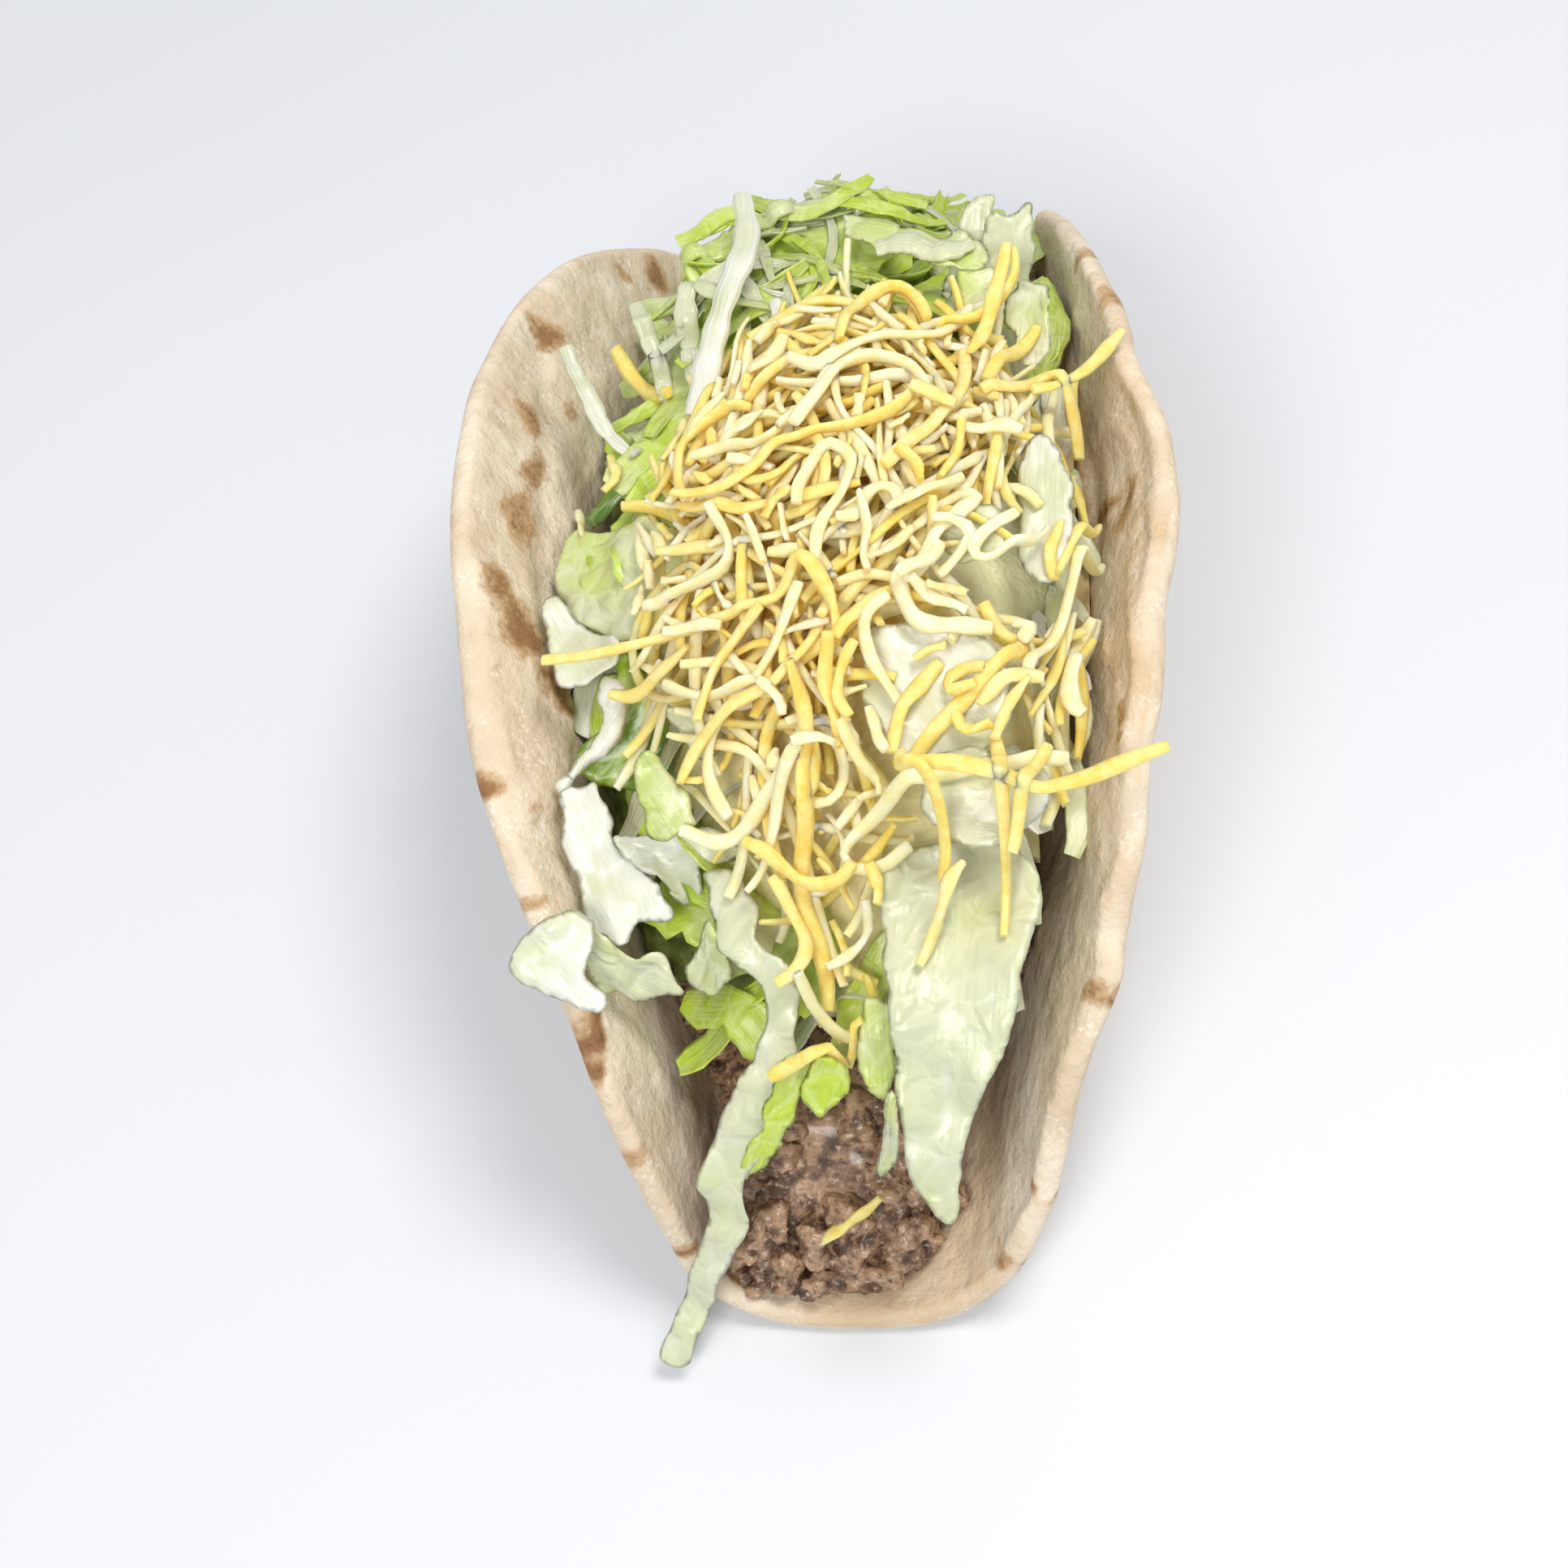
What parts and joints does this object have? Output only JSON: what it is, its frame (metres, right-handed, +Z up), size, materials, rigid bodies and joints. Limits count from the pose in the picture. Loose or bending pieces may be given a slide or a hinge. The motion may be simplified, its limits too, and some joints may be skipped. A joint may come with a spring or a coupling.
{
  "type": "soft taco",
  "caption": "Soft taco: a folded flour tortilla standing open side up, filled with ground beef, shredded lettuce and shredded cheese.",
  "frame": {"origin": "The middle of the flat strip under the fold, on which the taco rests.", "axes": "+Y runs along the fold, away from the end where the beef shows. +Z points up, out of the open side. +X is to the right when the end with the beef is near."},
  "size_m": [0.0775, 0.1595, 0.069],
  "materials": {
    "tortilla": "matte, floury",
    "beef": "moist",
    "lettuce": "moist, thin",
    "cheese": "satin"
  },
  "bodies": {
    "root": {"tortilla": "tortilla", "ground_beef": "beef", "lettuce_heap": "lettuce", "cheese_heap": "cheese", "lettuce_leaf_front": "lettuce", "lettuce_strip_front": "lettuce", "lettuce_stalk_left": "lettuce", "lettuce_leaf_left": "lettuce", "lettuce_leaf_left_low": "lettuce", "lettuce_chunk_left": "lettuce", "lettuce_leaf_point": "lettuce", "lettuce_leaf_right": "lettuce", "lettuce_rib_back": "lettuce", "lettuce_ribbon_back": "lettuce", "lettuce_tip_back_left": "lettuce", "lettuce_tip_back_right": "lettuce", "cheese_shred_left": "cheese", "cheese_shred_right": "cheese", "cheese_shred_beef": "cheese"}
  },
  "joints": []
}
